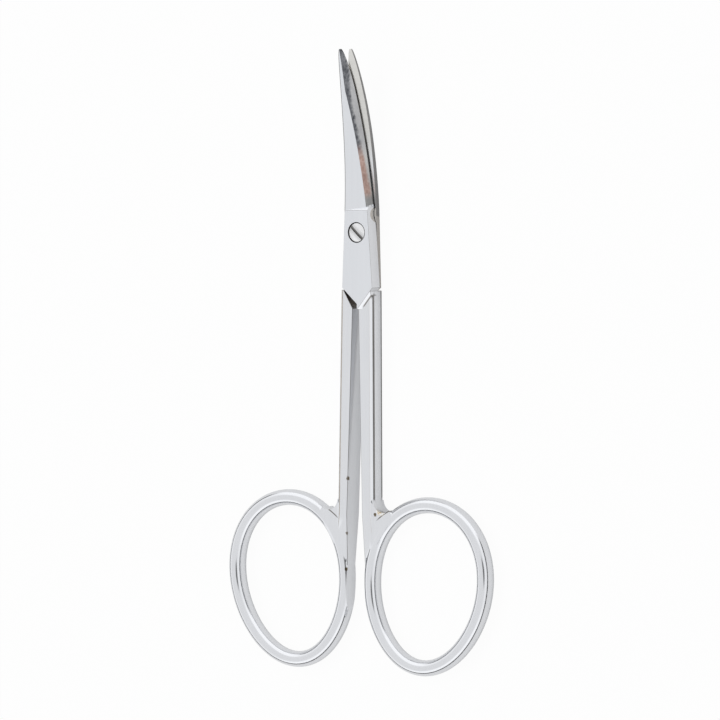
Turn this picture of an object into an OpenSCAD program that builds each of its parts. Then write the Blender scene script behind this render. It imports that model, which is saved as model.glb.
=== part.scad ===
// Cuticle scissors with curved blades and two finger rings.
// They lie flat on the table, screw side up. The tips point along +Y and curve up.
// The origin is on the pivot axis, level with the table under the lower half.

/* [Opening] */
// Angle between the two halves as the scissors lie
rest_opening = 3.1; // [1:0.1:12]

/* [Joint plate] */
// Thickness of each half where they cross
plate_t = 2.0; // [1.8:0.05:2.6]
// Gap between the two plates
plate_gap = 0.04; // [0.02:0.01:0.1]
// Distance of the screw from the centre line between the halves
screw_offset = 0.4; // [0:0.05:0.6]
// Width from the centre line to the plate's back edge, at the blade
plate_back_top = 1.57; // [1.45:0.01:1.75]
// Width from the centre line to the plate's back edge, at the lower corner
plate_back_low = 2.25; // [2:0.01:2.4]
// Width from the centre line to the plate's shank edge, at the blade
plate_shank_top = 2.37; // [2.3:0.01:2.6]
// Width from the centre line to the plate's shank edge, at the lower corner
plate_shank_low = 3.0; // [2.9:0.01:3.2]
// Lean of the back edge from upright, as the forging leaves it
back_lean = 22; // [12:0.5:26]
// Distance from the pivot down to the plate's lower corners
plate_corner = 8.0; // [7:0.1:9]
// Distance from the pivot down to the point of the V
plate_point = 10.7; // [10.2:0.1:12]
// Sideways place of the point of the V
plate_point_x = 0.64; // [0.4:0.02:1]
// Width of the sloped step from the plate down to the shank
step_w = 0.4; // [0.2:0.05:0.6]
// Clearance between the shank's shoulder and the other half's lower corner
shoulder_gap = 0.5; // [0.3:0.05:0.8]
// Distance from the centre line to where the shoulder turns down
shoulder_turn = 1.9; // [1.6:0.05:2.1]
// Angle of the shoulder below the turn
shoulder_angle = 57; // [50:1:62]

/* [Blade] */
// Distance from the pivot to the tip
blade_reach = 26.5; // [22:0.5:32]
// Distance from the pivot to the shoulder where the blade begins
blade_heel = 3.2; // [3:0.1:3.8]
// Depth of the sloped face at the heel
heel_drop = 0.75; // [0.5:0.05:1]
// Distance from the pivot to where the blade begins to curve up
bend_start = 1.2; // [1:0.1:2.5]
// Radius of the blade's upward curve
bend_radius = 75; // [60:1:120]
// Gap between the inner faces of the two blades
blade_gap = 0.12; // [0.1:0.01:0.2]
// Thickness at the back of the blade, at the heel
heel_t = 1.9; // [1.6:0.05:1.9]
// Thickness at the back of the blade, at the tip
tip_t = 0.5; // [0.4:0.05:0.8]
// Width from the centre line to the blade's back, at the heel
back_w = 1.65; // [1.5:0.01:1.7]
// How much narrower the back side gets towards the tip
back_taper = 0.7; // [0.4:0.02:0.9]
// Width from the centre line to the cutting edge, at the heel
edge_w = 2.26; // [2.1:0.01:2.3]
// How much narrower the edge side gets towards the tip
edge_taper = 1.54; // [1.2:0.02:1.6]
// Share of the blade's length where its back begins to round off to the tip
back_nose = 0.45; // [0.3:0.01:0.7]
// Share of the blade's length where its edge begins to round off to the tip
edge_nose = 0.75; // [0.5:0.01:0.85]
// Half width of the blunt tip
tip_half_w = 0.05; // [0.04:0.01:0.12]
// Height of the narrow land behind the cutting edge
edge_land = 0.22; // [0.1:0.01:0.3]
// Fall of the broad outer face towards the edge
broad_fall = 7.5; // [4:0.5:9]
// Width of the cutting bevel at the heel
bevel_w = 0.36; // [0.3:0.02:0.46]
// Angle at which the bevel's ridge crosses the blade
ridge_angle = 7; // [6:0.25:8]
// Least share of the blade's width that the broad outer face keeps near the tip
face_share = 0.35; // [0.2:0.01:0.45]
// Radius of the small scoop ground beside the heel
scoop_r = 3; // [2.6:0.1:4]
// Depth of that scoop at the inner face
scoop_depth = 0.12; // [0.06:0.02:0.2]
// Distance from the pivot to the middle of the scoop
scoop_reach = 2.7; // [2.4:0.1:3]
// Lean of the scoop outwards, so that it misses the outer face
scoop_lean = 12; // [8:1:16]

/* [Shank] */
// Thickness of the shank
shank_t = 3.1; // [2.8:0.05:3.4]
// Distance from the centre line to the flat inner side of each shank
shank_inner = 0.24; // [0.15:0.01:0.35]
// Distance from the centre line to the outer side, below the plate
shank_outer_top = 2.6; // [2.4:0.01:2.8]
// Distance from the centre line to the outer side, above the ring
shank_outer_low = 2.1; // [1.9:0.01:2.3]
// Width of the bevel along the outer edges
bevel_flat_w = 0.43; // [0.3:0.01:0.55]
// Depth of the bevel along the outer edges
bevel_flat_d = 0.5; // [0.35:0.01:0.6]

/* [Finger ring] */
// Width of the ring's wire, across the ring
wire_w = 2.3; // [2:0.05:2.6]
// Depth of the ring's wire, through the ring
wire_t = 2.8; // [2.6:0.05:3]
// Length of the finger hole
hole_l = 21.4; // [20:0.1:23]
// Width of the finger hole
hole_w = 17.25; // [16:0.05:18.4]
// Share by which the hole is wider above its middle and narrower below
hole_egg = 0.08; // [0:0.01:0.12]
// Lean of the ring's long axis away from the shank
ring_lean = 10.2; // [8:0.1:14]
// Distance from the pivot down to the middle of the ring
ring_drop = 51.15; // [49:0.05:54]
// Distance from the centre line out to the middle of the ring
ring_out = 10.55; // [10.45:0.05:10.9]
// Distance from the pivot down to where the shank begins to thin out inside the wire
shank_drop = 41; // [40:0.5:43]
// Length over which it thins out
shank_fade = 14; // [12:0.5:16]
// Thickness it thins out to
shank_end_t = 1; // [0.6:0.1:1.6]
// Angle round the ring, from its wide side, at which the filled corner ends
corner_end = 131; // [126:1:138]
// Depth of the filled corner between ring and shank
corner_t = 2.5; // [2.2:0.1:2.6]

/* [Screw] */
// Diameter of the screw head
head_d = 2.84; // [2.4:0.02:3]
// Height of the screw head at its rim
head_h = 0.8; // [0.6:0.05:0.9]
// Radius of the dome on the head
dome_r = 7; // [5:0.5:20]
// Height of the dome above the plate
dome_rise = 0.03; // [0:0.01:0.1]
// Clearance round the head in its recess
head_gap = 0.08; // [0.05:0.01:0.12]
// Width of the slot
slot_w = 0.42; // [0.3:0.02:0.5]
// Depth of the slot
slot_d = 0.45; // [0.3:0.05:0.5]
// Direction of the slot
slot_turn = -41.6; // [-90:0.2:90]
// Diameter of the plain part that the upper half turns on
journal_d = 1.8; // [1.6:0.05:2]
// Running clearance round the plain part
run_gap = 0.03; // [0.02:0.005:0.05]
// Diameter of the thread in the lower half
thread_d = 1.55; // [1.2:0.05:1.55]
// Clearance round the thread
thread_gap = 0.01; // [0.005:0.005:0.02]
// Diameter of the flared end that locks the screw
flare_d = 2.1; // [2:0.05:2.4]
// Depth of the flared end
flare_h = 0.3; // [0.2:0.05:0.4]

/* [Hidden] */
$fn = 96;
slack = 0.1;
big = 40;
table_z = plate_t;
half_angle = rest_opening / 2;
plate_face = plate_gap / 2;
blade_face = blade_gap / 2;

// The V of the plate: the back leg is a free edge, the shank leg a step
back_corner = [-plate_back_low, -plate_corner];
shank_corner = [plate_shank_low, -plate_corner];
v_point = [plate_point_x, -plate_point];
leg_slope = (v_point[1] - back_corner[1]) / (v_point[0] - back_corner[0]);
function leg_y(x) = back_corner[1] + (x - back_corner[0]) * leg_slope;
leg_foot = [shank_inner, leg_y(shank_inner)];

// The sloped face and the short riser where the blade leaves the plate
riser_z = plate_t - heel_drop;
riser_y = blade_heel + heel_drop;
plate_end = riser_y + slack;

// The ring's wire follows an egg shape: its middle, half sizes and the directions of its axes
ring_mid = [ring_out, -ring_drop];
ring_a = (hole_l + wire_w) / 2;
ring_b = (hole_w + wire_w) / 2;
long_way = [sin(ring_lean), cos(ring_lean)];
wide_way = [cos(ring_lean), -sin(ring_lean)];
ring_steps = 80;
wire_sides = 20;

// The shank runs on inside the ring's wire, and narrows and thins out there
shank_top = [shank_outer_top, -plate_corner];
shank_low = [shank_outer_low, -shank_drop];
shank_end = [shank_inner + wire_w / 2, -shank_drop - shank_fade];
shoulder_y = -plate_corner - shoulder_gap;

// Heights of the screw head: top of the dome, rim and underside
dome_top = 2 * plate_t + dome_rise;
head_top = dome_top - dome_r + sqrt(dome_r * dome_r - head_d * head_d / 4);
head_seat = head_top - head_h;
seat_gap = 0.02;

// The blade's root lies inside the plate, this far above the start of the curve
root_rise = 1;
blade_root = bend_start + root_rise;
blade_steps = 48;

// Height of the blade's curve at a distance from the pivot
function curve_up(y) = let(d = max(0, y - bend_start)) bend_radius - sqrt(bend_radius * bend_radius - d * d);
// Share of the blade's length at a distance from the pivot
function along(y) = max(0, (y - blade_heel) / (blade_reach - blade_heel));
// Rounding of the nose, 1 along the blade and 0 at the tip
function nose(f, start) = f < start ? 1 : sqrt(max(0, 1 - pow((f - start) / (1 - start), 2)));
function back_x(f) = -max((back_w - back_taper * f) * nose(f, back_nose), tip_half_w);
function edge_x(f) = max((edge_w - edge_taper * f) * nose(f, edge_nose), tip_half_w);
function ridge_x(y, f) = max(
    edge_w - bevel_w - (y - blade_heel) * tan(ridge_angle),
    back_x(f) + face_share * (edge_x(f) - back_x(f)));

// Cross-section of a blade: inner back, outer back, ridge, top of the land, cutting edge
function blade_section(y, bend) = let(
    f = along(y),
    z_in = blade_face + bend * curve_up(y),
    t = heel_t + (tip_t - heel_t) * f,
    x_back = back_x(f),
    x_ridge = ridge_x(y, f),
    x_edge = edge_x(f))
    [
        [x_back - t * tan(back_lean), y, z_in],
        [x_back, y, z_in + t],
        [x_ridge, y, z_in + t - (x_ridge - x_back) * tan(broad_fall)],
        [x_edge, y, z_in + edge_land],
        [x_edge, y, z_in]
    ];

// A blade lofted through its cross-sections, closer together towards the tip
module blade(bend) {
    sides = 5;
    ys = [for (i = [0:blade_steps]) blade_root + (blade_reach - blade_root) * sin(90 * i / blade_steps)];
    points = [for (y = ys) each blade_section(y, bend)];
    walls = [for (i = [0:blade_steps - 1], k = [0:sides - 1])
        let(a = i * sides + k, b = i * sides + (k + 1) % sides)
        each [[a, a + sides, b], [b, a + sides, b + sides]]];
    first = [for (k = [1:sides - 2]) [0, k, k + 1]];
    last_row = blade_steps * sides;
    last = [for (k = [1:sides - 2]) [last_row, last_row + k + 1, last_row + k]];
    polyhedron(points = points, faces = concat(walls, first, last));
}

// A block whose lower face starts at a line through p and slopes down to its right
module slope_cut(p, q, z, drop_angle) {
    translate([p[0], p[1], z])
        rotate([0, 0, atan2(q[1] - p[1], q[0] - p[0])])
            rotate([drop_angle, 0, 0])
                translate([-big, -big, 0])
                    cube([2 * big, big, big]);
}

// The flat plate that turns against the other half, with its bore still to be drilled
module plate(bend) {
    wide = plate_back_low + plate_t;
    under_step = shank_outer_top - step_w;
    outline = [
        shank_corner,
        [plate_shank_top, blade_heel],
        [edge_w, plate_end],
        [-wide, plate_end],
        [-wide, leg_y(-wide)],
        leg_foot,
        [shank_inner, v_point[1] - step_w],
        [under_step, v_point[1] - step_w],
        [shank_outer_top, shoulder_y]
    ];
    profile = [
        [-big, plate_face],
        [bend_start, plate_face],
        [plate_end, blade_face + bend * curve_up(plate_end)],
        [riser_y, riser_z],
        [blade_heel, plate_t],
        [-big, plate_t]
    ];
    step_angle = atan2(plate_t - shank_t / 2, step_w);
    difference() {
        intersection() {
            linear_extrude(plate_t) polygon(outline);
            rotate([90, 0, 90]) linear_extrude(big, center = true) polygon(profile);
        }
        slope_cut([-plate_back_top, blade_heel], back_corner, plate_t, 90 - back_lean);
        slope_cut(v_point, shank_corner, plate_t, step_angle);
    }
}

// The scoop where the grinding wheel left the blade's edge, beside the heel
module scoop() {
    translate([edge_w + scoop_r - scoop_depth, scoop_reach, 0])
        rotate([0, scoop_lean, 0])
            cylinder(h = 2 * plate_t, r = scoop_r, center = true);
}

// One bevel along an outer edge of the shank; side is 1 above and -1 below
module shank_bevel(side) {
    mirror([0, 0, side > 0 ? 0 : 1])
        slope_cut(
            shank_low - [bevel_flat_w, 0],
            shank_top - [bevel_flat_w, 0],
            shank_t / 2,
            atan2(bevel_flat_d, bevel_flat_w));
}

// The bar from the plate down into the ring
module shank() {
    outline = [
        [shank_inner, shank_top[1]],
        [shank_inner, shank_end[1]],
        shank_end,
        shank_low,
        shank_top
    ];
    profile = [
        [shank_top[1], -shank_t / 2],
        [shank_top[1], shank_t / 2],
        [shank_low[1], shank_t / 2],
        [shank_end[1], shank_end_t / 2],
        [shank_end[1], -shank_end_t / 2],
        [shank_low[1], -shank_t / 2]
    ];
    turn_drop = shoulder_turn * tan(shoulder_angle);
    seat = [
        [0, 0],
        [big, 0],
        [big, shoulder_y],
        [shoulder_turn, shoulder_y],
        [0, shoulder_y - turn_drop]
    ];
    difference() {
        intersection() {
            linear_extrude(shank_t, center = true) polygon(outline);
            rotate([90, 0, 90]) linear_extrude(big, center = true) polygon(profile);
        }
        translate([0, 0, -plate_t]) linear_extrude(plate_t + plate_face) polygon(seat);
        for (side = [-1, 1]) shank_bevel(side);
    }
}

// The middle of the ring's wire, at an angle round the ring
function ring_point(angle) =
    ring_mid + ring_b * cos(angle) * (1 + hole_egg * sin(angle)) * wide_way + ring_a * sin(angle) * long_way;
// The direction straight out of the ring, there
function ring_out_way(angle) =
    let(n = ring_a * cos(angle) * wide_way + ring_b * (sin(angle) - hole_egg * cos(2 * angle)) * long_way)
    n / norm(n);

// The oval finger ring, a closed wire of oval section
module finger_ring() {
    points = [for (i = [0:ring_steps - 1], k = [0:wire_sides - 1])
        let(
            angle = 360 * i / ring_steps,
            side = 360 * k / wire_sides,
            p = ring_point(angle) + wire_w / 2 * cos(side) * ring_out_way(angle))
        [p[0], p[1], wire_t / 2 * sin(side)]];
    faces = [for (i = [0:ring_steps - 1], k = [0:wire_sides - 1])
        let(
            j = (i + 1) % ring_steps,
            m = (k + 1) % wire_sides,
            a = i * wire_sides,
            b = j * wire_sides)
        each [[a + k, a + m, b + k], [b + k, a + m, b + m]]];
    polyhedron(points = points, faces = faces);
}

// The filled corner where the ring is welded to the shank: a round hollow that
// touches the shank's side and the outside of the ring
module filled_corner() {
    side = shank_outer_low;
    wire_mid = ring_point(corner_end);
    way = ring_out_way(corner_end);
    touch = wire_mid + wire_w / 2 * way;
    hollow_r = (touch[0] - side) / (1 - way[0]);
    hollow_mid = touch + hollow_r * way;
    root_turn = 35;
    web = [
        [shank_inner + wire_w / 2, hollow_mid[1]],
        hollow_mid,
        touch,
        wire_mid,
        ring_point(corner_end + root_turn)
    ];
    linear_extrude(corner_t, center = true)
        difference() {
            polygon(web);
            translate(hollow_mid) circle(r = hollow_r);
        }
}

// One half, blade up on the left and ring on the right, inner face at z = 0
module half_body(bend) {
    difference() {
        union() {
            plate(bend);
            blade(bend);
        }
        scoop();
    }
    shank();
    difference() {
        union() {
            finger_ring();
            filled_corner();
        }
        translate([shank_inner - big, -2 * big, -big / 2]) cube([big, 2 * big, big]);
    }
}

// Places a half on the pivot: side is 1 for the upper half and -1 for the lower
module placed_half(side) {
    translate([0, 0, table_z])
        rotate([0, 0, side * half_angle])
            translate([-screw_offset, 0, 0])
                rotate([0, side > 0 ? 0 : 180, 0])
                    half_body(side);
}

// The upper half, with the screw's recess and plain bore
module front_half() color("gainsboro")
    difference() {
        placed_half(1);
        translate([0, 0, table_z - slack]) cylinder(h = plate_t, d = journal_d + 2 * run_gap);
        translate([0, 0, head_seat - seat_gap]) cylinder(h = plate_t, d = head_d + 2 * head_gap);
    }

// The lower half, tapped for the screw and countersunk below for its flared end
module back_half() color("silver")
    difference() {
        placed_half(-1);
        translate([0, 0, -slack]) cylinder(h = plate_t + 2 * slack, d = thread_d + 2 * thread_gap);
        translate([0, 0, 0])
            cylinder(h = flare_h, d1 = flare_d + 2 * thread_gap, d2 = thread_d + 2 * thread_gap);
    }

// The slotted screw: domed head, plain part, thread and flared end
module pivot_screw() color("lightslategray")
    difference() {
        union() {
            intersection() {
                translate([0, 0, head_seat]) cylinder(h = plate_t, d = head_d);
                translate([0, 0, dome_top - dome_r]) sphere(r = dome_r);
            }
            translate([0, 0, table_z - plate_face]) cylinder(h = head_seat - table_z + plate_face, d = journal_d);
            cylinder(h = table_z, d = thread_d);
            cylinder(h = flare_h, d1 = flare_d, d2 = thread_d);
        }
        rotate([0, 0, slot_turn])
            translate([-head_d, -slot_w / 2, dome_top - slot_d]) cube([2 * head_d, slot_w, plate_t]);
    }

front_half();
back_half();
pivot_screw();
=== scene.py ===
import math

import bpy
from mathutils import Matrix, Vector


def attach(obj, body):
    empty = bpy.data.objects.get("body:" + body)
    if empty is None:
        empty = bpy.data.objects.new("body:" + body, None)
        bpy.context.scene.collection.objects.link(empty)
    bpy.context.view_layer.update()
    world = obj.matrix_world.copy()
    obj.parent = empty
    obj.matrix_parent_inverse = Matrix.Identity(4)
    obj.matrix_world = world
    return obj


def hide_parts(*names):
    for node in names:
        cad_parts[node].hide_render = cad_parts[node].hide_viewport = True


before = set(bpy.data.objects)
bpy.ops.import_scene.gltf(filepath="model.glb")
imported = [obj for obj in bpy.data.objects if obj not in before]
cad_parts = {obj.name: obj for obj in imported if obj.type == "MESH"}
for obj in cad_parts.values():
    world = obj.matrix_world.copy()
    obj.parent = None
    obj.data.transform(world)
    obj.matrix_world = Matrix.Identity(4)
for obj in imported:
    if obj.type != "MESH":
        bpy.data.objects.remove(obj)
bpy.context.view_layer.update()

# The view looks down on the table from the right, 35 degrees off the vertical,
# with the tips at the top. A frame 104 mm wide just holds the scissors.
pivot = Vector((0, 0, 0.002))
off_vertical = math.radians(35)
towards_tips = math.radians(2.3)
roll = 0.0054
distance = 1.099
frame_width = 0.1041
centre_right = -0.00052
centre_up = -0.0185

view = Vector((
    math.sin(off_vertical) * math.cos(towards_tips),
    math.sin(towards_tips),
    math.cos(off_vertical) * math.cos(towards_tips)))
right = Vector((math.cos(off_vertical), 0, -math.sin(off_vertical)))
up = view.cross(right)
eye = pivot + distance * view
centre = pivot + centre_right * right + centre_up * up
back = (eye - centre).normalized()
level = (up - roll * right).cross(back).normalized()
lens = bpy.data.cameras.new("camera")
lens.sensor_width = 36
lens.lens = lens.sensor_width * distance / frame_width
lens.clip_start = 0.05
lens.clip_end = 20
camera = bpy.data.objects.new("camera", lens)
bpy.context.scene.collection.objects.link(camera)
attitude = Matrix((level, back.cross(level), back)).transposed().to_4x4()
camera.matrix_world = Matrix.Translation(eye) @ attitude
bpy.context.scene.camera = camera
bpy.context.scene.view_settings.view_transform = "Standard"


# The table is a sheet of matt white paper. The camera sees it almost white, the
# metal mirrors it a little darker, and it keeps the scissors' soft shadow.
table_side = 0.9
matt_grey = (0.6, 0.6, 0.6, 1)
glow_for_camera, glow_for_metal = 0.96, 0.3


class Pattern:
    """A socket in a material. Sums of patterns add their own Math nodes."""

    def __init__(self, tree, socket=None):
        self.tree = tree
        self.socket = socket

    def node(self, kind, settings=None, **values):
        """Adds a node, with its settings first and then its values and links."""
        node = self.tree.nodes.new(kind)
        for name, value in (settings or {}).items():
            setattr(node, name, value)
        self.feed(node, **values)
        return node

    def feed(self, node, **values):
        """Sets or links sockets, named with _ for a space or numbered as _0, _1."""
        for name, value in values.items():
            key = int(name[1:]) if name[0] == "_" else name.replace("_", " ")
            if isinstance(value, Pattern):
                value = value.socket
            if isinstance(value, bpy.types.NodeSocket):
                self.tree.links.new(value, node.inputs[key])
            else:
                node.inputs[key].default_value = value

    def sum(self, operation, a, b):
        node = self.node("ShaderNodeMath", {"operation": operation}, _0=a, _1=b)
        return Pattern(self.tree, node.outputs[0])

    def step(self, low, high):
        """Goes smoothly from 0 to 1 as this pattern goes from low to high."""
        node = self.node("ShaderNodeMapRange", {"interpolation_type": "SMOOTHSTEP"},
                         Value=self, From_Min=low, From_Max=high)
        return Pattern(self.tree, node.outputs[0])

    def colours(self, first, second):
        """The first colour where this pattern is 0, and the second where it is 1."""
        node = self.node("ShaderNodeMix", {"data_type": "RGBA"}, _0=self, _6=first, _7=second)
        return Pattern(self.tree, node.outputs[2])

    def __add__(self, other): return self.sum("ADD", self, other)
    def __radd__(self, other): return self.sum("ADD", other, self)
    def __sub__(self, other): return self.sum("SUBTRACT", self, other)
    def __rsub__(self, other): return self.sum("SUBTRACT", other, self)
    def __mul__(self, other): return self.sum("MULTIPLY", self, other)
    def __rmul__(self, other): return self.sum("MULTIPLY", other, self)


bpy.ops.object.select_all(action="DESELECT")
bpy.ops.mesh.primitive_plane_add(size=table_side)
table = bpy.context.object
table.name = "table"
paper = bpy.data.materials.new("paper")
paper.use_nodes = True
paper.node_tree.nodes.clear()
sheet = Pattern(paper.node_tree)
rays = sheet.node("ShaderNodeLightPath")
by_camera = Pattern(paper.node_tree, rays.outputs["Is Camera Ray"])
by_metal = Pattern(paper.node_tree, rays.outputs["Is Glossy Ray"])
glow_share = glow_for_camera * by_camera + glow_for_metal * by_metal
matt = sheet.node("ShaderNodeBsdfDiffuse", Color=matt_grey)
glow = sheet.node("ShaderNodeEmission", Color=(1, 1, 1, 1), Strength=1.0)
both = sheet.node("ShaderNodeMixShader", _0=glow_share, _1=matt.outputs[0], _2=glow.outputs[0])
sheet.node("ShaderNodeOutputMaterial", Surface=both.outputs[0])
table.data.materials.append(paper)

# The light is a pale tent, brighter low on its walls, above all at the tips' and the
# rings' ends. Its foot is dark at the sides, and the lens looks in through a dark hole.
roof = 0.83
side_wall = 0.95
end_wall = 1.12
foot = 0.06
foot_height, roof_height, soft_height = (0.12, 0.26), (0.5, 0.72), (-0.1, 0.9)
end_span, lit_span = (0.1, 0.5), (0.55, 0.78)
hole_edge, hole_depth = (0.972, 0.993), 0.8
lamp_place, lamp_width, lamp_power = Vector((-0.25, 0.2, 0.8)), 0.6, 3
world = bpy.data.worlds.new("tent")
bpy.context.scene.world = world
world.use_nodes = True
world.node_tree.nodes.clear()
tent = Pattern(world.node_tree)
towards = tent.node("ShaderNodeTexCoord").outputs["Generated"]
axes = tent.node("ShaderNodeSeparateXYZ", Vector=towards)
along_y = Pattern(world.node_tree, axes.outputs["Y"])
height = Pattern(world.node_tree, axes.outputs["Z"])
lens_way = tent.node("ShaderNodeVectorMath", {"operation": "DOT_PRODUCT"}, _0=towards, _1=view)
hole = Pattern(world.node_tree, lens_way.outputs["Value"]).step(*hole_edge)
wall = side_wall + (end_wall - side_wall) * (along_y * along_y).step(*end_span)
sides = foot + (wall - foot) * height.step(*foot_height)
low = sides + (wall - sides) * along_y.step(*lit_span)
cloth = low - (wall - roof) * height.step(*roof_height)
mirrored = cloth * (1 - hole_depth * hole)
soft = height.step(*soft_height)
rays = tent.node("ShaderNodeLightPath")
diffuse = Pattern(world.node_tree, rays.outputs["Is Diffuse Ray"])
glowing = mirrored + (soft - mirrored) * diffuse
fabric = tent.node("ShaderNodeBackground", Color=(0.985, 0.99, 1, 1), Strength=glowing)
white = tent.node("ShaderNodeBackground", Color=(1, 1, 1, 1), Strength=1.0)
chosen = tent.node(
    "ShaderNodeMixShader", _0=rays.outputs["Is Camera Ray"],
    _1=fabric.outputs[0], _2=white.outputs[0])
tent.node("ShaderNodeOutputWorld", Surface=chosen.outputs[0])

lamp = bpy.data.lights.new("tent_lamp", "AREA")
lamp.shape = "DISK"
lamp.size = lamp_width
lamp.energy = lamp_power
tent_lamp = bpy.data.objects.new("tent_lamp", lamp)
tent_lamp.visible_glossy = False
bpy.context.scene.collection.objects.link(tent_lamp)
aimed = lamp_place.to_track_quat("Z", "Y").to_matrix().to_4x4()
tent_lamp.matrix_world = Matrix.Translation(lamp_place) @ aimed

# The blades are the forging's slim ends, stainless steel curved up towards the tips.
# The broad outer face is ground satin, the bevel beside it is honed to the edge, and
# the inner face is lapped. Sizes are in millimetres, inner face at zero.
opening = math.radians(3.1)
screw_offset = 0.4
blade_face = 0.06
heel_y = 3.2
blade_reach = 26.5
blade_root = 2.2
bend_start = 1.2
bend_radius = 75.0
back_w, back_taper, back_nose = 1.65, 0.7, 0.45
edge_w, edge_taper, edge_nose = 2.26, 1.54, 0.75
tip_half_w = 0.05
heel_t, tip_t = 1.9, 0.5
back_lean = math.radians(22)
broad_fall = math.tan(math.radians(7.5))
bevel_w = 0.36
face_share = 0.35
ridge_slope = math.tan(math.radians(7))
edge_land, land_thinning = 0.22, 0.6
back_round = 0.12
stations = 72
corners = 8
# Three kinds paint shade: the darkest for the edge land and bores, dark grey for creases, edges and
# blade backs, brownish for hollows and plate backs.
kinds = ["plated", "satin", "honed", "raw", "lapped", "worn", "browned"]
steel = {}


def metal(name):
    """A new metal: its material, a start for its patterns, its shader, its places in metres."""
    material = bpy.data.materials.new(name)
    material.use_nodes = True
    material.node_tree.nodes.clear()
    start = Pattern(material.node_tree)
    shader = start.node("ShaderNodeBsdfPrincipled", Metallic=1.0)
    start.node("ShaderNodeOutputMaterial", Surface=shader.outputs[0])
    place = start.node("ShaderNodeTexCoord").outputs["Object"]
    return material, start, shader, place


def grain(start, place, per_metre, detail=2.0):
    """Cloudy noise, drawn out along the axes where it has fewer clouds per metre."""
    fitted = start.node("ShaderNodeMapping", Scale=per_metre, Vector=place)
    noise = start.node("ShaderNodeTexNoise", Scale=1.0, Detail=detail, Vector=fitted.outputs[0])
    return Pattern(start.tree, noise.outputs[0])


def satin_steel():
    """Ground along its length: fine lines, and faint broad streaks between them."""
    material, start, shader, place = metal("satin_steel")
    lines = grain(start, place, (3200, 60, 3200), 3.0)
    streaks = grain(start, place, (700, 20, 700))
    tone = lines * 0.6 + streaks * 0.4
    ridges = start.node("ShaderNodeBump", Strength=0.12, Distance=0.00003, Height=lines)
    start.feed(
        shader, Base_Color=tone.colours((0.80, 0.815, 0.845, 1), (0.88, 0.895, 0.92, 1)),
        Roughness=0.24 + 0.12 * tone, Normal=ridges.outputs[0])
    return material


def lapped_steel():
    """Lapped flat and a little yellowed towards the tips, with lines across the blade."""
    material, start, shader, place = metal("lapped_steel")
    across = grain(start, place, (300, 2600, 300), 3.0)
    clouds = grain(start, place, (420, 260, 420))
    y = start.node("ShaderNodeSeparateXYZ", Vector=place).outputs["Y"]
    old = (Pattern(start.tree, y) + 0.003 * clouds).step(0.0105, 0.0165)
    fresh = across.colours((0.80, 0.82, 0.84, 1), (0.88, 0.90, 0.92, 1))
    mottled = 0.5 * across + 0.5 * clouds
    yellowed = mottled.colours((0.66, 0.65, 0.62, 1), (0.83, 0.82, 0.79, 1))
    ridges = start.node("ShaderNodeBump", Strength=0.1, Distance=0.00003, Height=across)
    start.feed(
        shader, Base_Color=old.colours(fresh, yellowed),
        Roughness=0.14 + 0.1 * clouds + 0.12 * old, Normal=ridges.outputs[0])
    return material


def honed_steel_painted_reflection(name, side):
    """The bevel, painted with the reflection of dark surroundings over a mottled stained look:
    blue-grey near the tip, reddish brown near the heel, paler at the edge.
    """
    material, start, shader, place = metal(name)
    axes = start.node("ShaderNodeSeparateXYZ", Vector=place).outputs
    x, y = Pattern(start.tree, axes["X"]), Pattern(start.tree, axes["Y"])
    ridge_at = (edge_w - bevel_w - side * screw_offset + ridge_slope * heel_y) / 1000
    from_ridge = side * x + math.tan(math.atan(ridge_slope) + opening / 2) * y - ridge_at
    clouds = grain(start, place, (1400, 1000, 1400), 4.0)
    blots = grain(start, place, (3600, 2600, 3600), 3.0)
    patchy = 0.5 * clouds + 0.5 * blots
    towards_edge = from_ridge + 0.0006 * (patchy - 0.5) - 0.00095 * y.step(0.018, 0.0245)
    blotchy = patchy.step(0.3, 0.7)
    # Painted dark reflection: mottled dark blue-grey near the tip, paler towards the edge.
    painted_dark_reflection = blotchy.colours((0.085, 0.09, 0.10, 1), (0.29, 0.295, 0.31, 1))
    painted_pale_reflection = patchy.colours((0.44, 0.44, 0.45, 1), (0.68, 0.68, 0.68, 1))
    painted_dark_reflection = towards_edge.step(0.0002, 0.00062).colours(painted_dark_reflection, painted_pale_reflection)
    # Painted reddish-brown reflection near the heel, pale grey towards the edge.
    painted_reddish_reflection = blotchy.colours((0.47, 0.29, 0.24, 1), (0.70, 0.53, 0.47, 1))
    off_ridge = (from_ridge + 0.0003 * (patchy - 0.5)).step(0.00034, 0.0006)
    painted_reddish_reflection = off_ridge.colours(painted_reddish_reflection, (0.66, 0.65, 0.63, 1))
    grey = patchy.colours((0.25, 0.25, 0.25, 1), (0.5, 0.5, 0.49, 1))
    far = (y + 0.002 * clouds).step(0.0112, 0.0142)
    low = (y + 0.001 * clouds).step(0.0052, 0.0066)
    colour = far.colours(low.colours(grey, painted_reddish_reflection), painted_dark_reflection)
    start.feed(shader, Base_Color=colour, Roughness=0.3 + 0.2 * blots)
    return material


def painted_deep_shade_steel():
    """Painted shade: the narrow land behind the edge, and the bores, coloured dark for the shadow
    in the gap and inside the holes.
    """
    material, start, shader, place = metal("painted_deep_shade_steel")
    clouds = grain(start, place, (1500, 500, 1500), 3.0)
    start.feed(
        shader, Base_Color=clouds.colours((0.10, 0.095, 0.09, 1), (0.28, 0.265, 0.25, 1)),
        Roughness=0.35 + 0.2 * clouds)
    return material


def painted_brown_shade_steel():
    """Painted shade, a little brown: the hollow by the heel, the plates' backs, the V's floor and
    the faintest crease lines.
    """
    material, start, shader, place = metal("painted_brown_shade_steel")
    clouds = grain(start, place, (1800, 700, 900), 3.0)
    start.feed(
        shader, Base_Color=clouds.colours((0.44, 0.405, 0.37, 1), (0.76, 0.72, 0.67, 1)),
        Roughness=0.25 + 0.15 * clouds)
    return material


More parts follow.
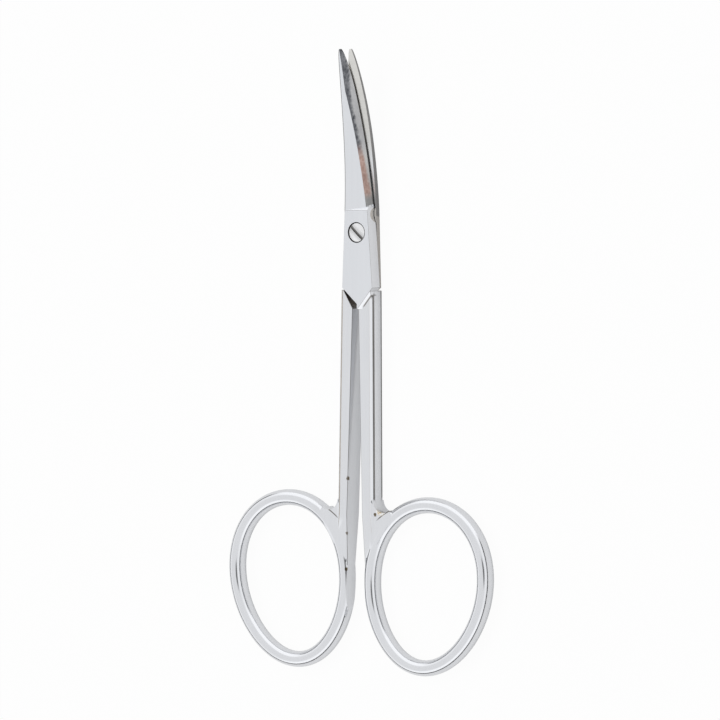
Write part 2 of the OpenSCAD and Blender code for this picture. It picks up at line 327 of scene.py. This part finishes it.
def painted_dark_steel():
    """Painted shade: fine dark grey lines along creases, edges and the blades' backs, the V's
    walls, and the screw's rim and slot.
    """
    material, start, shader, place = metal("painted_dark_steel")
    clouds = grain(start, place, (1200, 160, 1200), 3.0)
    start.feed(
        shader, Base_Color=clouds.colours((0.15, 0.145, 0.14, 1), (0.36, 0.35, 0.34, 1)),
        Roughness=0.28 + 0.15 * clouds)
    return material


steel["satin"] = satin_steel()
steel["lapped"] = lapped_steel()
steel["honed"] = honed_steel_painted_reflection("honed_steel_painted_reflection", 1)
steel["honed_below"] = honed_steel_painted_reflection("honed_steel_painted_reflection_below", -1)
steel["raw"] = painted_deep_shade_steel()
steel["browned"] = painted_brown_shade_steel()
steel["worn"] = painted_dark_steel()


def take(*pieces):
    """Selects these pieces alone, the last of them as the active one."""
    bpy.ops.object.select_all(action="DESELECT")
    for piece in pieces:
        piece.select_set(True)
    bpy.context.view_layer.objects.active = pieces[-1]


def dress(piece, bend, kind_of):
    """Gives a piece of a half all the kinds of steel, and each face its own."""
    for kind in kinds:
        below = kind == "honed" and bend < 0
        piece.data.materials.append(steel["honed_below" if below else kind])
    for face in piece.data.polygons:
        face.material_index = kinds.index(kind_of(face))


def curve_up(y):
    """How far the blade has curved up at a distance from the pivot."""
    d = max(0.0, y - bend_start)
    return bend_radius - math.sqrt(bend_radius ** 2 - d * d)


def rounding(f, start):
    """What is left of a width at a share of the blade's length, rounded off from a start."""
    return 1.0 if f < start else math.sqrt(max(0.0, 1 - ((f - start) / (1 - start)) ** 2))


def blade_section(y, bend):
    """The blade's outline at a distance from the pivot: back, broad face, ridge, land, edge."""
    f = max(0.0, (y - heel_y) / (blade_reach - heel_y))
    x_back = -max((back_w - back_taper * f) * rounding(f, back_nose), tip_half_w)
    x_edge = max((edge_w - edge_taper * f) * rounding(f, edge_nose), tip_half_w)
    x_ridge = max(
        edge_w - bevel_w - (y - heel_y) * ridge_slope, x_back + face_share * (x_edge - x_back))
    t = heel_t + (tip_t - heel_t) * f
    z_in = blade_face + bend * curve_up(y)
    x_low = x_back - t * math.tan(back_lean)
    r = min(back_round, 0.2 * (x_edge - x_back), 0.2 * t)
    return [
        (x_low + r, z_in),
        (x_low + 0.4 * r, z_in + 0.7 * r),
        (x_back - 0.4 * r, z_in + t - r),
        (x_back + 0.15 * r, z_in + t - 0.25 * r),
        (x_back + r, z_in + t - r * broad_fall),
        (x_ridge, z_in + t - (x_ridge - x_back) * broad_fall),
        (x_edge, z_in + edge_land * (1 - land_thinning * f)),
        (x_edge, z_in)]


def blade(bend):
    """One blade, forged curved and ground to its tip."""
    bpy.ops.object.select_all(action="DESELECT")
    bpy.ops.mesh.primitive_cylinder_add(vertices=corners, radius=1, depth=2)
    piece = bpy.context.object
    bpy.ops.object.mode_set(mode="EDIT")
    bpy.ops.mesh.select_all(action="DESELECT")
    bpy.ops.object.mode_set(mode="OBJECT")
    points = piece.data.vertices
    for edge in piece.data.edges:
        a, b = (points[i].co for i in edge.vertices)
        edge.select = abs(a.z - b.z) > 1
    bpy.ops.object.mode_set(mode="EDIT")
    bpy.ops.mesh.select_mode(type="EDGE")
    bpy.ops.mesh.subdivide(number_cuts=stations - 1)
    bpy.ops.object.mode_set(mode="OBJECT")
    corner_of = {}
    for point in piece.data.vertices:
        step = round((point.co.z + 1) / 2 * stations)
        corner = round(math.atan2(point.co.y, point.co.x) / math.tau * corners) % corners
        corner_of[point.index] = corner
        y = blade_root + (blade_reach - blade_root) * math.sin(math.pi / 2 * step / stations)
        x, z = blade_section(y, bend)[corner]
        point.co = (x, y, z)
    bpy.ops.object.mode_set(mode="EDIT")
    bpy.ops.mesh.select_all(action="SELECT")
    bpy.ops.mesh.normals_make_consistent(inside=False)
    bpy.ops.object.mode_set(mode="OBJECT")
    # The land takes the darkest painted shade for the gap at the edge, and other faces, the blade's
    # back, take dark grey painted shade.
    bands = {(0, 7): "lapped", (4, 5): "satin", (5, 6): "honed", (6, 7): "raw"}

    def kind_of(face):
        band = tuple(sorted({corner_of[i] for i in face.vertices}))
        return bands.get(band, "worn")

    dress(piece, bend, kind_of)
    return piece


# The joint plates are the flats in the middle of each forging, where the halves
# turn on each other. Each is 2 mm thick, with a V-shaped end, a satin outer face, a
# lapped inner face and a slope where the blade begins.
plate_t = 2.0
plate_face = 0.02
plate_back = ((-1.57, 3.2), (-2.25, -8.0))
plate_edge_top = 2.37
plate_end = 4.05
heel_drop = 0.75
shank_corner = (3.0, -8.0)
v_point = (0.64, -10.7)
leg_foot = (0.24, -10.33)
shoulder = (2.6, -8.5)
step_w = 0.4
scoop_r, scoop_depth, scoop_y = 3.0, 0.07, 2.7
scoop_lean = math.radians(12)
side_edge_shade, heel_wear = 0.09, 0.04
above_v = -9.0


def bar(outline, low, high):
    """A bar cut to an outline, from one height to another."""
    bpy.ops.object.select_all(action="DESELECT")
    bpy.ops.mesh.primitive_circle_add(vertices=len(outline), fill_type="NGON")
    piece = bpy.context.object
    for corner, (x, y) in zip(piece.data.vertices, outline):
        corner.co = (x, y, low)
    bpy.ops.object.mode_set(mode="EDIT")
    bpy.ops.mesh.select_all(action="SELECT")
    bpy.ops.mesh.extrude_region_move(TRANSFORM_OT_translate={"value": (0, 0, high - low)})
    bpy.ops.mesh.select_all(action="SELECT")
    bpy.ops.mesh.normals_make_consistent(inside=False)
    bpy.ops.object.mode_set(mode="OBJECT")
    return piece


def grind(piece, at, facing):
    """Grinds off all that lies beyond a flat, and closes the cut."""
    take(piece)
    bpy.ops.object.mode_set(mode="EDIT")
    bpy.ops.mesh.select_all(action="SELECT")
    bpy.ops.mesh.bisect(plane_co=at, plane_no=facing, use_fill=True, clear_outer=True)
    bpy.ops.object.mode_set(mode="OBJECT")


def slope(p, q, z, drop):
    """Where a flat starts at the line from p to q and drops to its right, and how it faces."""
    along = Vector((q[0] - p[0], q[1] - p[1], 0)).normalized()
    to_right = along.cross(Vector((0, 0, 1)))
    return Vector((p[0], p[1], z)), to_right * math.sin(drop) + Vector((0, 0, math.cos(drop)))


def worked(piece, kind, **settings):
    """Adds a modifier and applies it."""
    take(piece)
    modifier = piece.modifiers.new(kind.lower(), kind)
    for name, value in settings.items():
        setattr(modifier, name, value)
    bpy.ops.object.modifier_apply(modifier=modifier.name)


def soften(piece, width, kind, chosen=lambda a, b: True):
    """Breaks the chosen sharp edges, as the polishing wheel does."""
    take(piece)
    bpy.ops.object.mode_set(mode="EDIT")
    bpy.ops.mesh.select_mode(type="EDGE")
    bpy.ops.mesh.select_all(action="DESELECT")
    bpy.ops.mesh.edges_select_sharp(sharpness=math.radians(25))
    bpy.ops.object.mode_set(mode="OBJECT")
    points = piece.data.vertices
    for edge in piece.data.edges:
        a, b = (points[i].co for i in edge.vertices)
        edge.select = edge.select and chosen(a, b)
    bpy.ops.object.mode_set(mode="EDIT")
    bpy.ops.mesh.bevel(
        offset=width, segments=2, affect="EDGES", clamp_overlap=True, material=kinds.index(kind))
    bpy.ops.object.mode_set(mode="OBJECT")


def joined(piece, other, how="UNION"):
    """Fuses another piece to this one, or cuts it out, and uses it up."""
    worked(piece, "BOOLEAN", operation=how, solver="EXACT", object=other)
    bpy.data.objects.remove(other)


def plate(bend):
    """One joint plate, with the small hollow that the wheel left beside the heel."""
    wide = -4.3
    leg = (v_point[1] - plate_back[1][1]) / (v_point[0] - plate_back[1][0])
    piece = bar([
        shank_corner,
        (plate_edge_top, heel_y),
        (edge_w, plate_end),
        (wide, plate_end),
        (wide, plate_back[1][1] + (wide - plate_back[1][0]) * leg),
        leg_foot,
        (leg_foot[0], v_point[1] - step_w),
        (shoulder[0] - step_w, v_point[1] - step_w),
        shoulder], plate_face, plate_t)
    grind(piece, *slope(plate_back[0], plate_back[1], plate_t, math.pi / 2 - back_lean))
    grind(piece, *slope(v_point, shank_corner, plate_t, math.atan2(plate_t - shank_t / 2, step_w)))
    grind(piece, (0, heel_y, plate_t), (0, 1, 1))
    riser_top = Vector((0, heel_y + heel_drop, plate_t - heel_drop))
    riser_foot = Vector((0, plate_end, blade_face + bend * curve_up(plate_end)))
    down = riser_foot - riser_top
    grind(piece, riser_top, (0, -down.z, down.y))
    inner = riser_foot - Vector((0, bend_start, plate_face))
    if inner.z > 0:
        grind(piece, (0, bend_start, plate_face), (0, inner.z, -inner.y))

    # The plate's backs are painted brownish shade.
    def kind_of(face):
        if face.normal.z > 0.95:
            return "satin"
        if face.normal.x < -0.5:
            return "browned"
        return "lapped" if face.normal.z < -0.9 else "plated"

    def beside_pivot(a, b):
        low, high = sorted((a.y, b.y))
        inner = a.z + b.z < plate_t / 2
        return low < 0 and (above_v if inner else 0) < high < heel_y + 0.01

    dress(piece, bend, kind_of)
    # Painted shade: dark lines on the plate's edges beside the pivot.
    soften(piece, side_edge_shade, "worn", beside_pivot)
    soften(piece, heel_wear, "plated", lambda a, b: min(a.y, b.y) > heel_y - 0.1)
    return piece


def scoop(bend):
    """The grinding wheel that leaves the hollow: a cylinder leaning outwards."""
    bpy.ops.object.select_all(action="DESELECT")
    bpy.ops.mesh.primitive_cylinder_add(vertices=128, radius=scoop_r, depth=2 * plate_t)
    piece = bpy.context.object
    piece.data.transform(Matrix.Rotation(scoop_lean, 4, "Y"))
    piece.data.transform(Matrix.Translation((edge_w + scoop_r - scoop_depth, scoop_y, 0)))
    # The hollow is painted brownish, as shade.
    dress(piece, bend, lambda face: "browned")
    return piece


# The shanks are bars 3.1 mm deep between plate and ring, bevelled along their outer
# edges and flat on the inner side. They are polished and plated, with a few pitted spots
# where the plating has gone through. Fine dark lines along the creases are painted shade.
shank_inner = 0.24
shank_low = (2.1, -41.0)
shank_end = (1.39, -55.0)
shank_t = 3.1
shank_end_t = 1.0
shank_bevel_w, shank_bevel_d = 0.43, 0.5
facet_w, crease_up, crease_down = 0.2, 0.18, 0.36
facet_facing, crease_facing = (0.3, 0.6), (0.85, 0.98)
seat_in, seat_out, seat_foot, seat_top = -1.0, 40.0, -14.0, -8.3
inner_edge_shade, outer_edge_shade, seat_wear = 0.07, 0.045, 0.05
shoulder_turn = 1.9
shoulder_angle = math.radians(57)
pits_and_shade_blob = [
    ((-1.56, -35.7, 3.4), 0.44),
    ((-1.82, -43.7, 3.33), 0.36),
    ((-1.97, -48.9, 3.2), 0.4),
    # The last is no pit but painted shadow: the dark blob where the crease ends by the weld.
    ((3.1, -40.75, 3.35), 0.38)]
gilt_and_highlight, gilt_and_highlight_reach = (4.1, -40.1, 3.25), 0.85
line_w = 0.12
shade_arc_middle, shade_arc_r = (10.6, -50.0), 11.1
shade_arc_at, shade_arc_reach = (5.2, -40.6, 3.25), 1.9
foot_facing, foot_from_pivot = (0.7706, -0.6374, 0), 7.617
foot_at, foot_reach = (1.85, -9.7, 3.55), 1.4


def plated_steel():
    """Mirror plating over hand polishing: waves, haze, pitted spots, painted shade lines, a painted
    shadow blob, and a painted highlight on the weld bead with golden flecks.
    """
    material, start, shader, place = metal("plated_steel")
    haze = grain(start, place, (420, 120, 420), 3.0)
    lines = grain(start, place, (2600, 150, 2600))
    waves = grain(start, place, (160, 70, 160), 1.0)
    flecks = grain(start, place, (5200, 5200, 5200), 1.0)
    colour = (0.5 * haze + 0.5 * lines).colours((0.79, 0.80, 0.825, 1), (0.87, 0.88, 0.90, 1))

    def near(at, reach):
        """1 within about a reach of a place, both in millimetres, with a ragged rim."""
        away = start.node(
            "ShaderNodeVectorMath", {"operation": "DISTANCE"}, _0=place, _1=Vector(at) / 1000)
        ragged = Pattern(start.tree, away.outputs["Value"]) + 0.0003 * flecks
        return ragged.step(1.3 * reach / 1000, 0.8 * reach / 1000)

    def line(node, distance, at, reach):
        """A dark line of painted shade at a distance in millimetres, but only near a place."""
        off = Pattern(start.tree, node.outputs["Value"]) - distance / 1000
        return (off * off).step((line_w / 1000) ** 2, 0) * near(at, reach)

    for at, reach in pits_and_shade_blob:
        colour = near(at, reach).colours(colour, (0.17, 0.13, 0.08, 1))
    # Painted shadow: a dark arc along the ring's outline below each weld.
    for side in (1, -1):
        middle = (side * shade_arc_middle[0] / 1000, shade_arc_middle[1] / 1000, 0)
        flat = start.node("ShaderNodeVectorMath", {"operation": "MULTIPLY"}, _0=place, _1=(1, 1, 0))
        away = start.node(
            "ShaderNodeVectorMath", {"operation": "DISTANCE"}, _0=flat.outputs[0], _1=middle)
        shade_arc = line(away, shade_arc_r, (side * shade_arc_at[0], shade_arc_at[1], shade_arc_at[2]), shade_arc_reach)
        colour = shade_arc.colours(colour, (0.2, 0.185, 0.17, 1))
    # Painted shade: a dark line at the foot of the V step, under its bright edge.
    across = start.node(
        "ShaderNodeVectorMath", {"operation": "DOT_PRODUCT"}, _0=place, _1=foot_facing)
    foot_shade_line = line(across, foot_from_pivot, foot_at, foot_reach)
    colour = foot_shade_line.colours(colour, (0.25, 0.24, 0.23, 1))
    # Painted highlight: the weld bead whitened, with golden flecks and a crumpled bump in it.
    bead = near(gilt_and_highlight, gilt_and_highlight_reach)
    colour = bead.colours(colour, (0.97, 0.97, 0.97, 1))
    fleck = bead * flecks.step(0.5, 0.56)
    colour = fleck.colours(colour, (0.66, 0.5, 0.24, 1))
    rough = waves + 2.5 * bead * flecks
    ripple = start.node("ShaderNodeBump", Strength=0.25, Distance=0.0002, Height=rough)
    fine = start.node(
        "ShaderNodeBump", Strength=0.05, Distance=0.00003, Height=lines, Normal=ripple.outputs[0])
    start.feed(shader, Base_Color=colour, Roughness=0.09 + 0.07 * haze, Normal=fine.outputs[0])
    return material


steel["plated"] = plated_steel()


def shank(bend):
    """One shank, from the plate down into the ring."""
    piece = bar([
        (shank_inner, shank_corner[1]),
        (shank_inner, shank_end[1]),
        shank_end,
        shank_low,
        (shoulder[0], shank_corner[1])], -shank_t / 2, shank_t / 2)
    bevel_angle = math.atan2(shank_bevel_d, shank_bevel_w)
    crease_angle = (bevel_angle + math.pi / 2) / 2
    thin = math.atan2((shank_t - shank_end_t) / 2, shank_low[1] - shank_end[1])

    def ground(side, inset, depth, angle):
        """Grinds a flat along the outer edge, on the upper side or mirrored on the lower."""
        low = (shank_low[0] - inset, shank_low[1])
        top = (shoulder[0] - inset, shank_corner[1])
        at, facing = slope(low, top, shank_t / 2 - depth, angle)
        grind(piece, (at.x, at.y, at.z * side), (facing.x, facing.y, facing.z * side))

    for side in (1, -1):
        ground(side, shank_bevel_w, 0, bevel_angle)
        if bend < 0:
            ground(side, shank_bevel_w + facet_w, 0, bevel_angle / 2)
        crease_w = crease_up if side * bend > 0 else crease_down
        ground(side, 0, shank_bevel_d + crease_w, crease_angle)
        thin_from = (0, shank_low[1], side * shank_t / 2)
        grind(piece, thin_from, (0, -math.sin(thin), side * math.cos(thin)))
    seat = bar([
        (seat_in, 0),
        (seat_out, 0),
        (seat_out, shoulder[1]),
        (shoulder_turn, shoulder[1]),
        (seat_in, shoulder[1] - (shoulder_turn - seat_in) * math.tan(shoulder_angle))],
        -plate_t, plate_face)

    # The lower half's extra facet is painted brownish shade, and the creases dark grey, standing in
    # for dark reflections.
    def kind_of(face):
        if facet_facing[0] < face.normal.x < facet_facing[1]:
            return "browned"
        return "worn" if crease_facing[0] < face.normal.x < crease_facing[1] else "plated"

    def lengthwise(a, b):
        return abs(a.x - b.x) < 1 and min(a.y, b.y) < seat_foot

    def at_seat(a, b):
        return min(a.y, b.y) > seat_foot and max(a.y, b.y) < seat_top

    dress(piece, bend, kind_of)
    # Painted shade in the V where the plate crosses: its floor brownish, its walls dark.
    dress(seat, bend, lambda face: "browned" if face.normal.z > 0.5 else "worn")
    joined(piece, seat, "DIFFERENCE")
    # Painted shade: dark grey lines on the inner edges and brownish lines on the outer ones.
    soften(piece, inner_edge_shade, "worn", lambda a, b: lengthwise(a, b) and max(a.x, b.x) < 1)
    soften(piece, outer_edge_shade, "browned", lambda a, b: lengthwise(a, b) and min(a.x, b.x) > 1)
    soften(piece, seat_wear, "plated", at_seat)
    return piece


# The finger rings are egg-shaped loops of oval wire, 2.3 by 2.8 mm, bent from the
# shanks' ends. Where the loop comes back to the shank it is welded, and the corner is
# filled and ground to a round hollow.
wire_w, wire_t = 2.3, 2.8
ring_a, ring_b, ring_egg = 11.85, 9.775, 0.08
ring_middle = Vector((10.55, -51.15))
ring_lean = math.radians(10.2)
corner_end = math.radians(131)
corner_root = math.radians(166)
corner_t = 2.7
corner_steps = 16
weld_reach = (-0.6, -49.5, 6.5, -36)
weld_voxel, weld_smoothing, weld_rounds = 0.11, 0.5, 30


def ring_point(angle):
    """The middle of the ring's wire and the way out of the ring, at an angle round it."""
    long_way = Vector((math.sin(ring_lean), math.cos(ring_lean)))
    wide_way = Vector((math.cos(ring_lean), -math.sin(ring_lean)))
    width = ring_b * math.cos(angle) * (1 + ring_egg * math.sin(angle))
    at = ring_middle + width * wide_way + ring_a * math.sin(angle) * long_way
    rise = ring_b * (math.sin(angle) - ring_egg * math.cos(2 * angle))
    way = ring_a * math.cos(angle) * wide_way + rise * long_way
    return at, way.normalized()


def ring(bend):
    """One finger ring."""
    bpy.ops.object.select_all(action="DESELECT")
    bpy.ops.mesh.primitive_torus_add(
        major_segments=192, minor_segments=48, major_radius=2, minor_radius=1)
    piece = bpy.context.object
    for point in piece.data.vertices:
        angle = math.atan2(point.co.y, point.co.x)
        side = math.atan2(point.co.z, math.hypot(point.co.x, point.co.y) - 2)
        at, way = ring_point(angle)
        at = at + wire_w / 2 * math.cos(side) * way
        point.co = (at.x, at.y, wire_t / 2 * math.sin(side))
    dress(piece, bend, lambda face: "plated")
    return piece


def weld(bend):
    """The filled corner between ring and shank."""
    at, way = ring_point(corner_end)
    touch = at + wire_w / 2 * way
    hollow_r = (touch.x - shank_low[0]) / (1 - way.x)
    hollow = touch + hollow_r * way
    start = math.pi
    end = math.atan2(-way.y, -way.x) % math.tau
    turns = [start + (end - start) * i / corner_steps for i in range(corner_steps + 1)]
    arc = [hollow + hollow_r * Vector((math.cos(turn), math.sin(turn))) for turn in turns]
    root = ring_point(corner_root)[0]
    outline = [Vector((shank_inner + wire_w / 2, hollow.y))] + arc + [at, root]
    piece = bar(outline, -corner_t / 2, corner_t / 2)
    dress(piece, bend, lambda face: "plated")
    return piece


def flowed(piece, bend):
    """The same piece near the weld, its hollow corners flowed full and its edges rounded."""
    left, low, right, high = weld_reach
    take(piece)
    bpy.ops.object.duplicate()
    bead = bpy.context.object
    box = bar([(left, low), (right, low), (right, high), (left, high)], -wire_t, wire_t)
    joined(bead, box, "INTERSECT")
    worked(bead, "REMESH", mode="VOXEL", voxel_size=weld_voxel, use_smooth_shade=True)
    worked(bead, "SMOOTH", factor=weld_smoothing, iterations=weld_rounds)
    bead.data.materials.clear()
    dress(bead, bend, lambda face: "plated")
    return bead


# The two halves are alike. Each is fused from its shank, ring, weld, plate and blade,
# the lower one is turned over, and they cross on the pivot 3.1 degrees open. The upper
# half is bored and recessed for the screw, and the lower half is tapped.
bore_r, recess_r, tap_r = 0.93, 1.5, 0.785
bore_span, recess_span, tap_span = (1.5, 3.5), (3.06, 5.0), (-0.5, 2.5)
loop_inset = 0.003
smooth_below = math.radians(28)


def half(name, bend):
    """One half of the scissors, set in its place on the pivot."""
    piece = shank(bend)
    loop = ring(bend)
    joined(loop, weld(bend))
    grind(loop, (shank_inner + loop_inset, 0, 0), (-1, 0, 0))
    joined(piece, loop)
    joined(piece, flowed(piece, bend))
    top = plate(bend)
    joined(top, blade(bend))
    joined(top, scoop(bend), "DIFFERENCE")
    joined(piece, top)
    piece.name = name
    piece.data.transform(Matrix.Rotation(0 if bend > 0 else math.pi, 4, "Y"))
    piece.data.transform(Matrix.Translation((-screw_offset, 0, 0)))
    piece.data.transform(Matrix.Rotation(bend * opening / 2, 4, "Z"))
    piece.data.transform(Matrix.Translation((0, 0, plate_t)))
    return piece


def drilled(piece, bend, span, radius):
    """A round hole on the pivot axis, from one height to another."""
    low, high = span
    bpy.ops.object.select_all(action="DESELECT")
    bpy.ops.mesh.primitive_cylinder_add(
        vertices=96, radius=radius, depth=high - low, location=(0, 0, (low + high) / 2))
    drill = bpy.context.object
    # The bore is painted dark, as the shade inside it.
    dress(drill, bend, lambda face: "raw")
    joined(piece, drill, "DIFFERENCE")


def in_metres(piece):
    """Turns millimetres into metres. Rounds shade smooth, and the blade's ridge stays crisp."""
    piece.data.transform(Matrix.Scale(0.001, 4))
    take(piece)
    bpy.ops.object.shade_smooth_by_angle(angle=smooth_below)
    crisp = {kinds.index("honed"), kinds.index("raw")}
    finishes = {}
    for face in piece.data.polygons:
        for key in face.edge_keys:
            finishes.setdefault(key, set()).add(face.material_index)
    for edge in piece.data.edges:
        meeting = finishes[tuple(sorted(edge.vertices))]
        if len(meeting) > 1 and meeting & crisp:
            edge.use_edge_sharp = True
    worked(piece, "WEIGHTED_NORMAL", keep_sharp=True, mode="FACE_AREA")


upper_half = half("upper_half_steel", 1)
drilled(upper_half, 1, bore_span, bore_r)
drilled(upper_half, 1, recess_span, recess_r)
in_metres(upper_half)
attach(upper_half, "upper_half")
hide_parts("front_half")

lower_half = half("lower_half_steel", -1)
drilled(lower_half, -1, tap_span, tap_r)
in_metres(lower_half)
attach(lower_half, "lower_half")
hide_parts("back_half")


# The screw is turned steel with a slotted, slightly domed head 2.84 mm across, its rim
# and slot painted dark grey as shade. The upper half turns on its plain part. Its thread
# sits in the lower half, and its end is spread there to lock it.
head_r, head_seat = 1.42, 3.0845
dome_r, dome_top = 7.0, 4.03
journal_r, thread_r, flare_r, flare_h = 0.9, 0.775, 1.05, 0.3
slot_w, slot_d = 0.42, 0.25
slot_turn = math.radians(-41.6)
rim_z, rim_lean, rim_shade = 3.8, 0.8, 0.04
overlap, sliver = 0.01, 0.0005
lathe_rate = 90000


def turned_steel():
    """Turned on the lathe: fine rings round its axis, cloudy tone, and painted highlights in two
    lobes beside the slot.
    """
    material, start, shader, place = metal("turned_steel")
    flat = start.node("ShaderNodeVectorMath", {"operation": "MULTIPLY"}, _0=place, _1=(1, 1, 0))
    length = start.node("ShaderNodeVectorMath", {"operation": "LENGTH"}, _0=flat.outputs[0])
    from_axis = Pattern(start.tree, length.outputs["Value"])
    rings = start.node("ShaderNodeMath", {"operation": "SINE"}, _0=from_axis * lathe_rate)
    over_slot = (math.sin(-slot_turn), math.cos(slot_turn), 0)
    across = start.node(
        "ShaderNodeVectorMath", {"operation": "DOT_PRODUCT"}, _0=place, _1=over_slot)
    off_slot = Pattern(start.tree, across.outputs["Value"])
    # Painted highlights: two bright lobes either side of the slot.
    painted_highlights = (off_slot * off_slot * (1000 / head_r) ** 2).step(0.0, 0.3)
    clouds = grain(start, place, (900, 900, 900), 3.0)
    highlights_and_tone = painted_highlights + 0.6 * (clouds - 0.5)
    ridges = start.node("ShaderNodeBump", Strength=0.25, Distance=0.00002, Height=rings.outputs[0])
    start.feed(
        shader, Base_Color=highlights_and_tone.colours((0.7, 0.7, 0.7, 1), (0.95, 0.95, 0.95, 1)),
        Roughness=0.2 + 0.15 * clouds, Normal=ridges.outputs[0])
    return material


def turned(radius, low, high, top_radius=None):
    """A round part of the screw, with its axis on the pivot."""
    bpy.ops.object.select_all(action="DESELECT")
    bpy.ops.mesh.primitive_cone_add(
        vertices=96, radius1=radius, radius2=top_radius or radius, depth=high - low,
        location=(0, 0, (low + high) / 2))
    bpy.ops.object.transform_apply(location=True)
    return bpy.context.object


finishes = [turned_steel(), steel["worn"]]
bright, worn = 0, 1


def finished(piece, finish):
    """Gives a part of the screw both finishes, and all its faces one of them."""
    for material in finishes:
        piece.data.materials.append(material)
    for face in piece.data.polygons:
        face.material_index = finish
    return piece


screw = finished(turned(head_r, head_seat, dome_top + 1), bright)
bpy.ops.object.select_all(action="DESELECT")
bpy.ops.mesh.primitive_uv_sphere_add(
    segments=192, ring_count=192, radius=dome_r, location=(0, 0, dome_top - dome_r))
joined(screw, bpy.context.object, "INTERSECT")
# The rim and the slot are painted dark grey, as shade round the head and inside the slot.
rim = turned(head_r + (rim_z - head_seat) * rim_lean, head_seat, rim_z + 1, head_r - rim_lean)
joined(screw, finished(rim, worn), "INTERSECT")
bpy.ops.object.select_all(action="DESELECT")
bpy.ops.mesh.primitive_cube_add(size=1)
blank = bpy.context.object
blank.data.transform(Matrix.Diagonal((4 * head_r, slot_w, 1, 1)))
blank.data.transform(Matrix.Rotation(slot_turn, 4, "Z"))
blank.data.transform(Matrix.Translation((0, 0, dome_top - slot_d + 1 / 2)))
joined(screw, finished(blank, worn), "DIFFERENCE")
worked(screw, "BEVEL", width=rim_shade, segments=2, limit_method="ANGLE",
       angle_limit=math.radians(50), material=worn)
bpy.ops.object.mode_set(mode="EDIT")
bpy.ops.mesh.select_all(action="SELECT")
bpy.ops.mesh.dissolve_degenerate(threshold=sliver)
bpy.ops.object.mode_set(mode="OBJECT")
joined(screw, turned(journal_r, plate_t - plate_face, head_seat + overlap))
joined(screw, turned(thread_r, flare_h / 2, plate_t))
joined(screw, turned(flare_r, 0, flare_h, thread_r))
screw.name = "slotted_screw"
screw.data.transform(Matrix.Scale(0.001, 4))
take(screw)
bpy.ops.object.shade_smooth_by_angle(angle=smooth_below)
worked(screw, "WEIGHTED_NORMAL", keep_sharp=True, mode="FACE_AREA")
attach(screw, "lower_half")
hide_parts("pivot_screw")
